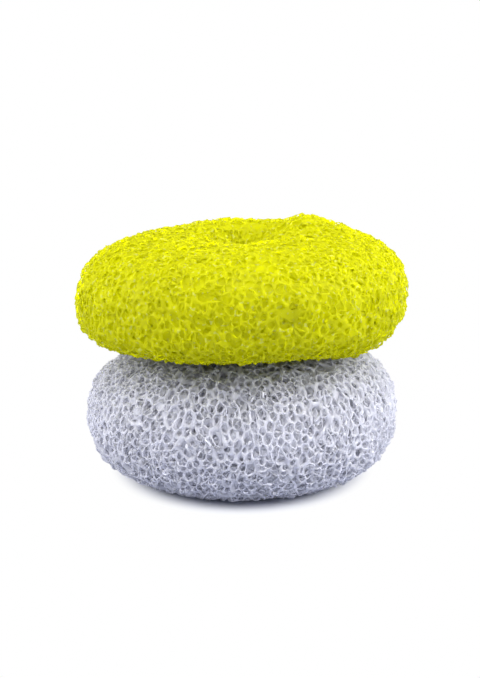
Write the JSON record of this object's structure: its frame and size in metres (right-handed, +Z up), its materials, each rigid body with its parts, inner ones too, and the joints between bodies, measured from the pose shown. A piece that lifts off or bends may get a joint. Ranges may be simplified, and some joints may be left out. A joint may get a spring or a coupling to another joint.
{
  "type": "nylon scrubber",
  "caption": "Round nylon mesh scrubbers for dishes, stacked as a pair: soft knitted pucks with a gathered middle, lime yellow above and lavender grey below. The upper pad lifts off.",
  "frame": {"origin": "On the surface that the pair stands on, under the middle of the lower pad.", "axes": "+Z is up, along the axis of both round pads. +X is to the right and +Y is away from the viewer, seen from the side that the picture shows."},
  "size_m": [0.095, 0.095, 0.0728],
  "materials": {
    "yellow_nylon": "translucent lime-yellow nylon tape with small bright glints",
    "grey_nylon": "translucent pale lavender-grey nylon tape with small bright glints",
    "tie_thread": "matt twisted thread"
  },
  "bodies": {
    "lower_scrubber": {"lower_cover_net": "grey_nylon", "lower_second_turn": "grey_nylon", "lower_third_turn": "grey_nylon", "lower_core_roll": "grey_nylon", "lower_gather_tie": "tie_thread"},
    "upper_scrubber": {"upper_cover_net": "yellow_nylon", "upper_second_turn": "yellow_nylon", "upper_third_turn": "yellow_nylon", "upper_core_roll": "yellow_nylon", "upper_gather_tie": "tie_thread"}
  },
  "joints": [
    {"name": "upper_scrubber_lift", "type": "slide", "parent": "lower_scrubber", "child": "upper_scrubber", "axis": [0, 0, 1], "range_m": [0, 0.06]}
  ]
}
